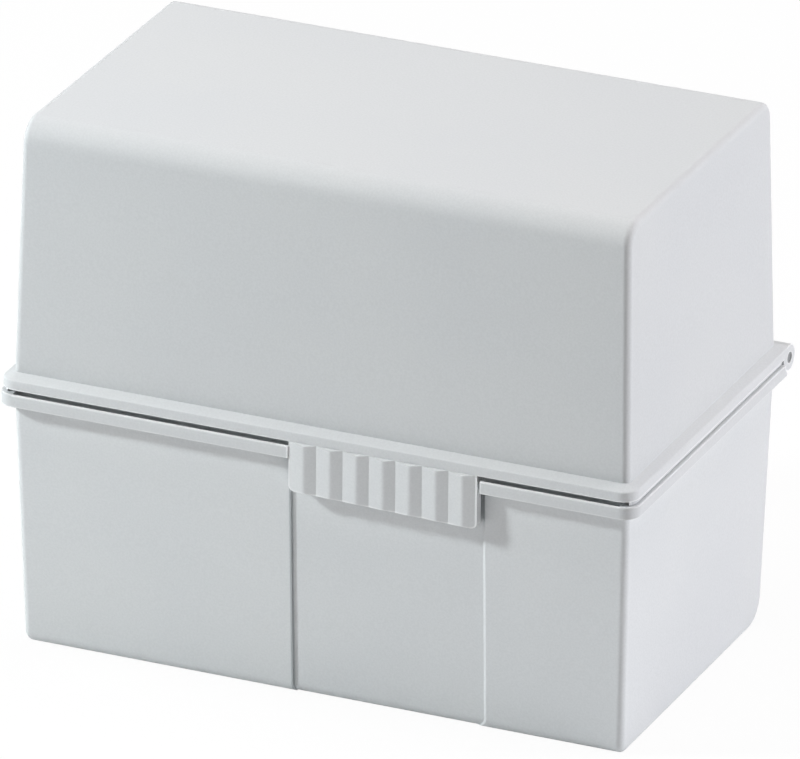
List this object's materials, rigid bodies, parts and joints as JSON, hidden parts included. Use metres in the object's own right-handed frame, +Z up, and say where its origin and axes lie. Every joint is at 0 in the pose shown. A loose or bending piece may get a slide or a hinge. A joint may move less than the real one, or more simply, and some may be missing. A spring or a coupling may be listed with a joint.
{
  "type": "index card box",
  "caption": "Upright plastic box for index cards, a drafted tray and a pin-hinged lid of about equal height, closed by a ribbed snap tab on the front.",
  "frame": {"origin": "middle of the box's footprint, on the surface it stands on", "axes": "+X to the right along the hinge, -Y is the front with the tab, +Z up"},
  "size_m": [0.122, 0.0744, 0.1],
  "materials": {
    "moulded_grey": "fine spark-eroded satin polystyrene, light grey",
    "pin_steel": "drawn steel wire"
  },
  "bodies": {
    "base": {"base_tray": "moulded_grey", "hinge_pins": "pin_steel"},
    "lid": {"lid": "moulded_grey"},
    "latch": {"latch_tab": "moulded_grey"}
  },
  "joints": [
    {"name": "lid_hinge", "type": "hinge", "parent": "base", "child": "lid", "pos_m": [0, 0.03478, 0.04965], "axis": [-1, 0, 0], "range_deg": [0, 105]},
    {"name": "latch_flex", "type": "hinge", "parent": "lid", "child": "latch", "pos_m": [0.01327, -0.03662, 0.0501], "axis": [-1, 0, 0], "range_deg": [0, 6], "stiffness_Nm_per_rad": 0.8}
  ]
}
